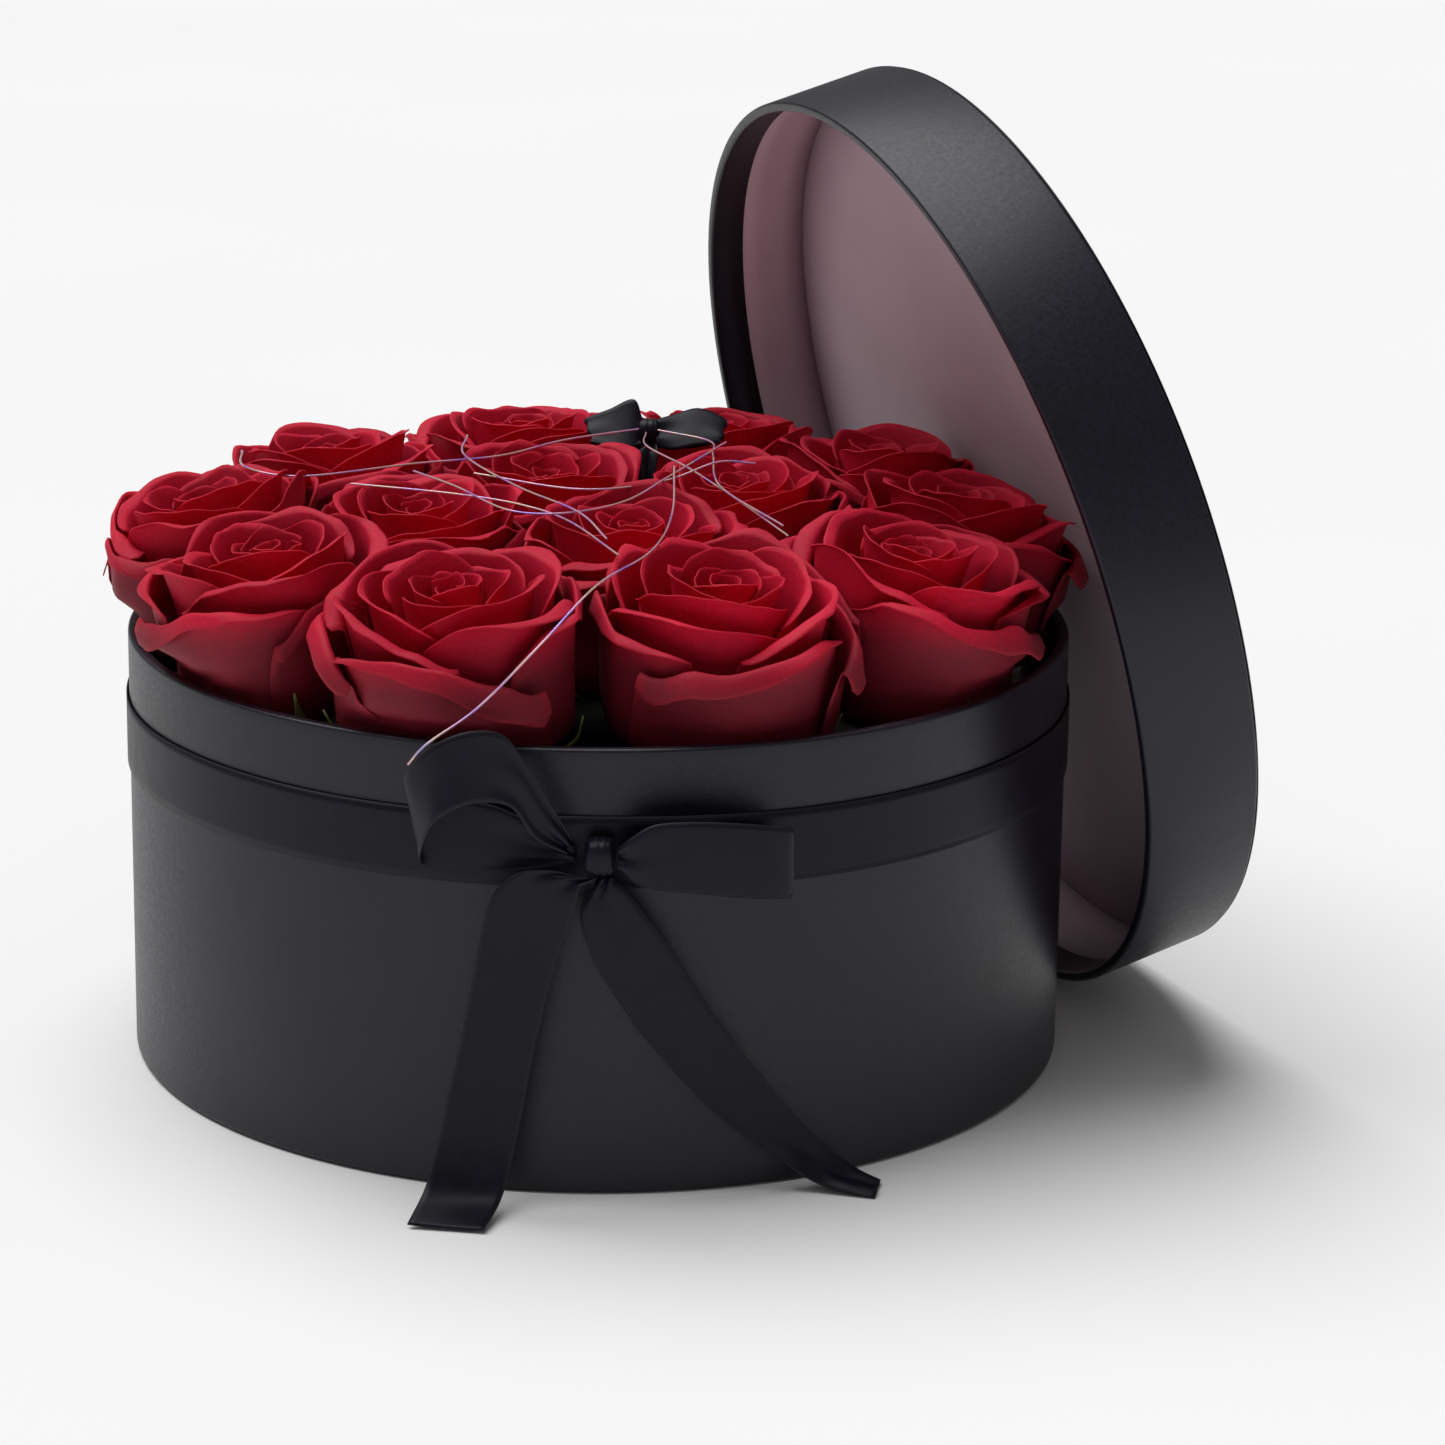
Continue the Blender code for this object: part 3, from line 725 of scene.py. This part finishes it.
def squeeze(points, own):
    """Presses a rose's points in where its neighbours, the box's wall and the lid leave less room."""
    pressed = points.copy()
    for other in range(len(ROSES)):
        if other == own:
            continue
        mine = axis_at(own, pressed[:, 2])
        gap = axis_at(other, pressed[:, 2]) - mine
        distance = np.linalg.norm(gap, axis=1)
        toward = gap / distance[:, None]
        out = ((pressed[:, :2] - mine) * toward).sum(axis=1)
        new = pressed_in(out, distance / 2 - ROSE_GAP, REACH)
        pressed[:, :2] += toward * (new - out)[:, None]

    start = np.linalg.norm(axis_at(own, pressed[:, 2]), axis=1)
    spread = np.linalg.norm(pressed[:, :2], axis=1)
    above = np.clip((pressed[:, 2] - BOX_HEIGHT - OVERHANG_START) / OVERHANG_RISE, 0, 1)
    limit = INSIDE_RADIUS - WALL_GAP + OVERHANG * above**2 * (3 - 2 * above)
    new = pressed_in(spread, limit, start + REACH)
    pressed[:, :2] *= (new / np.maximum(spread, 1e-6))[:, None]

    base, direction = ROSES[own]
    room = LID_DEPTH - LID_GAP
    depth = (pressed - LID_RIM) @ LID_AXIS
    axis_depth = (base + direction * FULL_HEAD - LID_RIM) @ LID_AXIS
    new = pressed_in(depth, room, axis_depth + REACH)
    pressed += LID_AXIS * (new - depth)[:, None]
    around = pressed - LID_RIM - new[:, None] * LID_AXIS
    spread = np.linalg.norm(around, axis=1)
    ring = LID_RADIUS - LID_WALL - 0.8 * MM
    over = np.where((new > -RIM_ZONE) & (spread > ring), spread - ring, 0)
    pressed -= around / spread[:, None] * over[:, None]
    return pressed


def rose_frame(own):
    """Matrix columns: the rose's own X and Y, and Z up its stem."""
    direction = ROSES[own][1]
    x = unit(np.cross(direction, (0.0, 0.0, 1.0)) + np.array([1e-6, 0, 0]))
    if abs(direction[2]) > 0.9999:
        x = np.array([1.0, 0.0, 0.0])
    y = np.cross(direction, x)
    return np.stack([x, y, direction], axis=1)


def to_world(points, own):
    """Points in mm in a rose's own frame, in metres in the frame's axes."""
    return ROSES[own][0] + (points * MM) @ rose_frame(own).T


def add_roses():
    """Each rose has its own seed. The layers' petals wind one way in odd roses, the other in even ones."""
    for own in range(len(ROSES)):
        number = own + 1
        rng = np.random.default_rng(40 + number)
        wind = 1 if number % 2 else -1
        phase = rng.uniform(0, 2 * math.pi)
        verts, faces, edges, painted_light_shares, tones = [], [], [], [], []
        total = 0
        for layer in PETAL_LAYERS:
            phase += math.pi / layer.count + rng.uniform(-0.2, 0.2)
            for k in range(layer.count):
                turn = phase + 2 * math.pi * k / layer.count + rng.uniform(-0.12, 0.12)
                grown, edge, painted_light_share = petal(rng, layer, turn, wind)
                verts.append(grown)
                faces += grid_faces(WALL_ROWS + LIP_ROWS, PETAL_COLUMNS, total)
                edges.append(edge)
                painted_light_shares.append(painted_light_share)
                tones.append(np.full(len(grown), rng.uniform(0, 1)))
                total += len(grown)
        world = squeeze(to_world(np.concatenate(verts), own), own)
        head = add_mesh(
            f"rose_{number:02d}_petals",
            world,
            faces,
            SOAP,
            {
                "edge": np.concatenate(edges),
                # share of painted light from above, against painted shade low on the outside
                "open": np.concatenate(painted_light_shares),
                "tone": np.concatenate(tones),
            },
            sharp=math.radians(120),
        )
        thicken(head, PETAL_THICKNESS)
        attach(head, "box")
        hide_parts(f"rose_{number:02d}_head")
        add_sepals(own)


def add_sepals(own):
    """Narrow green leaves that rise from the calyx, lie against the head and curl out at their tips."""
    number = own + 1
    rng = np.random.default_rng(90 + number)
    s = np.linspace(-1, 1, SEPAL_COLUMNS)[None, :]
    phase = rng.uniform(0, 2 * math.pi)
    verts, faces = [], []
    for k in range(SEPAL_COUNT):
        length = rng.uniform(0.85, 1.1)
        line = smooth_route(SEPAL_LINE, SEPAL_ROWS) * (length, length)
        t = np.linspace(0, 1, SEPAL_ROWS)[:, None]
        half = 3.6 * (1 - t**2.2) * (0.6 + 1.2 * t * (1 - t)) + 0.15
        curl = rng.uniform(-1.5, 3.0) * np.clip(t - 0.7, 0, 1) / 0.3
        keel = 0.5 * (1 - s**2) * (1 - t)
        r = line[:, :1] + keel + curl
        z = line[:, 1:] + 0 * s
        sway = rng.uniform(-2, 2) * t**2
        phi = phase + 2 * math.pi * k / SEPAL_COUNT + (half * s + sway) / np.maximum(r, 5)
        points = np.stack([r * np.cos(phi), r * np.sin(phi), z], axis=2).reshape(-1, 3)
        faces += grid_faces(SEPAL_ROWS, SEPAL_COLUMNS, len(verts) * SEPAL_ROWS * SEPAL_COLUMNS)
        verts.append(points)
    world = squeeze(to_world(np.concatenate(verts), own), own)
    leaves = add_mesh(f"rose_{number:02d}_sepals", world, faces, PLASTIC)
    thicken(leaves, SEPAL_THICKNESS)
    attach(leaves, "box")


# ---------------------------------------------------------------- box and lid


def add_box():
    """The black paper round the wall, turned in under the base and over the rim."""
    wall = BOX_RADIUS
    inner = INSIDE_RADIUS + 0.4 * MM
    low = 0.4 * MM
    outline = rounded(
        [
            (wall - BOX_TURN_IN, low),
            (wall, low),
            (wall, BOX_HEIGHT),
            (inner, BOX_HEIGHT),
            (inner, BOX_HEIGHT - BOX_TURN_IN),
        ],
        (0.9 * MM, 0.8 * MM, 0.8 * MM),
    )
    foot = [point for point in outline if point[1] < 2 * MM]
    rim = [point for point in outline if point[1] >= 2 * MM]
    column = [(wall, height) for height in np.linspace(3 * MM, BOX_HEIGHT - 3 * MM, 12)]
    seam = Seam(math.radians(96), 0.11, wall - 1.5 * MM)
    wrap = turned_shell("box_wrap", foot + column + rim, BLACK_PAPER, seam)
    thicken(wrap, PAPER, -1.0)
    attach(wrap, "box")
    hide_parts("box_wrap_paper")


def lid_place():
    """The lid's place: its open edge's centre, with Z along the joint's axis."""
    turn = Vector(LID_AXIS).to_track_quat("Z", "Y").to_matrix().to_4x4()
    return Matrix.Translation(LID_RIM) @ turn


def add_to_lid(item, thickness, offset, node):
    item.data.transform(lid_place())
    if thickness:
        thicken(item, thickness, offset)
    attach(item, "lid")
    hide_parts(node)


def add_lid():
    """The lid's papers, made round Z with the open edge at 0 and the top above it."""
    wall = LID_RADIUS
    inner = wall - LID_WALL
    outline = rounded(
        [(wall - 8 * MM, LID_DEPTH), (wall, LID_DEPTH), (wall, 0), (inner, 0), (inner, LID_TURN_IN)],
        (0.9 * MM, 0.7 * MM, 0.7 * MM),
    )
    wrap = turned_shell("lid_wrap", outline, BLACK_PAPER, Seam(math.radians(200), 0.1, wall - 1.5 * MM))
    add_to_lid(wrap, PAPER, 1.0, "lid_wrap_paper")

    edge = wall - 0.5 * MM
    outline = [(edge, LID_TOP), (edge, LID_TOP + PAPER), (60 * MM, LID_TOP + PAPER)]
    cap = turned_shell("lid_top", outline, BLACK_PAPER, closed=True)
    add_to_lid(cap, 0, 0, "lid_top_paper")

    low = LID_INSIDE_DEPTH
    outline = [(inner - 0.05 * MM, low), (90 * MM, low), (50 * MM, low)]
    panel = turned_shell("lid_panel_paper", outline, LINING, closed=True)
    add_to_lid(panel, PAPER * 0.8, -1.0, "lid_panel_lining")

    heights = (LID_TURN_IN + 0.1 * MM, 14 * MM, 20 * MM, low - 0.1 * MM)
    ring = turned_shell("lid_wall_paper", [(inner, height) for height in heights], LINING)
    add_to_lid(ring, PAPER, 1.0, "lid_wall_lining")


# ---------------------------------------------------------------- ribbon


RIBBON_WIDTH = 16 * MM
TOP_RIBBON_WIDTH = 12 * MM
RIBBON_THICKNESS = 0.35 * MM
RIBBON_COLUMNS = 13
CUP = 0.25  # mm by which a strip's edges stand higher than its middle
GATHERS = 1.7  # half waves between the middle of a gathered strip and its edge


def ribbon(name, crossings, count, width):
    """Strip whose two edges run through the pairs of points in mm that cross it, and its length.

    Where it is narrower than the flat ribbon it is gathered into lengthwise folds.
    """
    first = smooth_route([pair[0] for pair in crossings], count)
    second = smooth_route([pair[1] for pair in crossings], count)
    centres = (first + second) / 2
    half = (second - first) / 2
    widths = 2 * np.linalg.norm(half, axis=1)
    along = np.gradient(centres, axis=0)
    out = np.cross(along, half)
    out /= np.linalg.norm(out, axis=1)[:, None]
    s = np.linspace(-1, 1, RIBBON_COLUMNS)
    travel = np.concatenate([[0], np.cumsum(np.linalg.norm(np.diff(centres, axis=0), axis=1))])
    verts, uvs = [], []
    for i in range(count):
        slack = np.clip(1 - widths[i] * MM / width, 0, 1)
        lift = slack * np.cos(GATHERS * math.pi * s + 0.6) + CUP * (s**2 - 0.33)
        verts.append(centres[i] + half[i] * s[:, None] + out[i] * lift[:, None])
        uvs.append(np.stack([np.full(RIBBON_COLUMNS, travel[i] * MM), np.abs(s) * width / 2], axis=1))
    item = add_mesh(
        name,
        np.concatenate(verts) * MM,
        grid_faces(count, RIBBON_COLUMNS),
        SATIN,
        uvs=np.concatenate(uvs),
        sharp=math.radians(120),
    )
    thicken(item, RIBBON_THICKNESS)
    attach(item, "box")
    return item, travel[-1] * MM


def add_band():
    """The ribbon stretched round the box, which wanders up and down a little."""
    radius = BOX_RADIUS + 0.5 * MM
    heights = np.linspace(-1, 1, 9)
    angles = circle_angles()
    wander = 0.25 * MM * np.sin(3 * angles + 0.4) + 0.15 * MM * np.sin(7 * angles)
    verts, uvs = [], []
    for s in heights:
        z = BAND_HEIGHT + s * RIBBON_WIDTH / 2 + wander
        reach = np.full(AROUND, radius)
        verts.append(np.stack([reach * np.cos(angles), reach * np.sin(angles), z], axis=1))
        uvs.append(np.stack([angles * radius, np.full(AROUND, abs(s) * RIBBON_WIDTH / 2)], axis=1))
    band = add_mesh(
        "band",
        np.concatenate(verts),
        grid_faces(len(heights), AROUND, around=True),
        SATIN,
        uvs=np.concatenate(uvs),
    )
    thicken(band, RIBBON_THICKNESS)
    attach(band, "box")
    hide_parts("ribbon_band")


FRONT_BOW = {  # each strip's crossings: pairs of points on its two edges, in mm
    "bow_loop_left": (
        ((-2.5, -117.5, 83.5), (-3.5, -117.5, 80.5)),
        ((-7.5, -119.5, 93), (-10, -120.5, 84.5)),
        ((-12.5, -121.5, 102), (-15, -123, 92)),
        ((-17, -123, 108), (-21.5, -125, 93.5)),
        ((-24.5, -124, 108.5), (-27, -126, 92)),
        ((-32, -122.5, 104.5), (-31.5, -125, 88)),
        ((-37.5, -118.5, 97), (-34, -120.5, 80.5)),
        ((-36, -113.5, 92), (-33.5, -114, 76)),
        ((-28.5, -111.8, 90.5), (-27.5, -112.5, 75)),
        ((-18, -111.8, 88.5), (-17, -112.2, 74.5)),
        ((-8, -112.2, 83.5), (-7.5, -112.4, 75.5)),
        ((-1.5, -113, 79.8), (-1.5, -113, 77)),
    ),
    "bow_loop_right": (
        ((7.6, -117.3, 81.5), (7.6, -117.3, 76.5)),
        ((10.5, -119, 84.5), (10.5, -119, 74.5)),
        ((15.5, -119.5, 87.5), (15.5, -119.5, 73)),
        ((25, -118.8, 88), (25, -118.8, 72)),
        ((35.5, -116.5, 87), (35.5, -116.5, 70.5)),
        ((42.5, -113.5, 85.5), (42.5, -113.5, 69.5)),
        ((44.7, -110.5, 84.2), (44.7, -110.5, 69)),
        ((42.5, -106.8, 83.5), (42.5, -106.8, 68.5)),
        ((33, -108.6, 84), (33, -108.6, 69.5)),
        ((22.5, -110.8, 84), (22.5, -110.8, 71)),
        ((13, -112.2, 82), (13, -112.2, 73)),
        ((7.8, -113, 79.5), (7.8, -113, 75.5)),
    ),
    "bow_tail_left": (
        ((0.6, -117, 74.4), (3, -117, 74.2)),
        ((-6.5, -118.2, 76.5), (-0.5, -118.2, 73)),
        ((-14, -118.6, 76), (-1.2, -118.6, 69.5)),
        ((-19, -118.4, 71), (-3, -118.4, 63.5)),
        ((-21.5, -118.2, 62), (-5.5, -118.2, 56)),
        ((-25.5, -118.3, 40), (-9.7, -118.3, 38)),
        ((-28.8, -118.6, 24.5), (-12.5, -118.6, 22.5)),
        ((-31, -119.7, 13.5), (-14.8, -119.7, 11)),
        ((-33.5, -123, 5.5), (-17, -123.5, 3.6)),
        ((-36.5, -131, 0.9), (-20, -133.5, 0.9)),
    ),
    "bow_tail_right": (
        ((6.4, -115.2, 74.4), (3.8, -115.2, 74.2)),
        ((7, -115.6, 73.5), (1.2, -115.6, 70.5)),
        ((9, -116, 72), (-0.8, -116, 66)),
        ((13.3, -116, 66.5), (1.8, -116, 57)),
        ((17.5, -115.6, 60.5), (5, -115.6, 51)),
        ((26.5, -113.5, 45.5), (12.5, -115, 39.5)),
        ((36, -110, 31.5), (21.5, -113, 28)),
        ((44.5, -106, 19.5), (31, -110.2, 17.5)),
        ((53, -102, 9.5), (42, -107.5, 8.5)),
        ((59.5, -100, 3.6), (52, -107.8, 2.6)),
        ((65.5, -101, 0.9), (64, -110.5, 0.9)),
    ),
}
TOP_BOW = {
    "top_bow_loop_left": (
        ((8.4, 60, 135.8), (8.2, 56, 130.4)),
        ((6.2, 62.5, 140.2), (5.4, 54.2, 129.6)),
        ((0.4, 62, 137.8), (1, 53.8, 129.8)),
        ((-5.6, 61.5, 135.2), (-3.6, 54.4, 131)),
        ((-2.5, 62, 132.6), (-1, 56.2, 130)),
        ((4, 61.5, 132), (4.6, 57, 129.8)),
        ((7.2, 60, 131), (7.2, 58, 130.3)),
    ),
    "top_bow_loop_right": (
        ((11.6, 60, 135.8), (11.8, 56, 130)),
        ((16.4, 62, 136.9), (16.2, 54.2, 129.8)),
        ((22.4, 63.2, 138.2), (21.6, 54.4, 130.8)),
        ((29, 62, 135.6), (27.8, 55, 131.6)),
        ((25, 62, 132.8), (24.6, 56.4, 130)),
        ((18, 61.5, 131.8), (18, 57, 129)),
        ((12.8, 60, 131), (12.8, 58, 130.3)),
    ),
    "top_bow_tail": (
        ((8, 56.6, 130), (12, 56.6, 130)),
        ((5.2, 54.2, 128.4), (12.4, 54.2, 127.6)),
        ((8.4, 50.6, 121.2), (10.6, 50.6, 119.8)),
    ),
}


def add_bows():
    """The strips of both bows, given with the rows along each strip, its width and what holds it up."""
    bows = ((FRONT_BOW, 90, RIBBON_WIDTH, ["band"]), (TOP_BOW, 54, TOP_RIBBON_WIDTH, []))
    for bow, count, width, support in bows:
        for node, crossings in bow.items():
            item, length = ribbon("satin_" + node, crossings, count, width)
            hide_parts(node)
    for node in ("bow_knot", "top_bow_knot"):
        add_knot(node)


def add_knot(node):
    """The short wrap of gathered ribbon that holds a bow together."""
    low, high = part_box(node)
    middle = (np.array(low) + np.array(high)) / 2
    half = (np.array(high) - np.array(low)) / 2
    if node == "top_bow_knot":
        half *= (1.2, 1.1, 1.35)  # wound round the loops and not between them
    around, across = 40, 15
    verts, uvs = [], []
    for i in range(across):
        s = -1 + 2 * i / (across - 1)
        bulge = (1 - abs(s) ** 5) ** 0.5
        crease = 1 - 0.03 * math.cos(4 * math.pi * s)
        for j in range(around):
            a = 2 * math.pi * j / around
            y = math.copysign(abs(math.cos(a)) ** 0.75, math.cos(a))
            z = math.copysign(abs(math.sin(a)) ** 0.75, math.sin(a))
            fit = (0.25 + 0.75 * bulge) * crease
            verts.append(
                (
                    middle[0] + s * half[0] * (1 + 0.08 * math.sin(2 * a)),
                    middle[1] + y * half[1] * fit,
                    middle[2] + z * half[2] * fit,
                )
            )
            uvs.append((a * half[2], abs(s) * 7 * MM))
    faces = grid_faces(across, around, around=True)
    faces.append(tuple(range(around)))
    faces.append(tuple(range((across - 1) * around, across * around))[::-1])
    item = add_mesh("satin_" + node, verts, faces, SATIN, uvs=uvs, sharp=math.radians(80))
    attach(item, "box")
    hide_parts(node)


# ---------------------------------------------------------------- pieces that stay as in the CAD


def dress_cad_nodes():
    finishes = {
        "box_wall_board": BOARD,
        "box_base_board": BOARD,
        "box_base_paper": BLACK_PAPER,
        "box_base_lining": LINING,
        "box_wall_lining": LINING,
        "foam_block": FOAM,
        "lid_wall_board": BOARD,
        "lid_panel_board": BOARD,
        "top_bow_stem": WIRE,
    }
    for number in range(1, len(ROSES) + 1):
        finishes[f"rose_{number:02d}_calyx"] = PLASTIC
    for node, material in finishes.items():
        for slot in nodes[node].material_slots:
            slot.material = material


add_camera()
add_tinsel()
add_studio()
add_roses()
add_box()
add_lid()
add_band()
add_bows()
dress_cad_nodes()
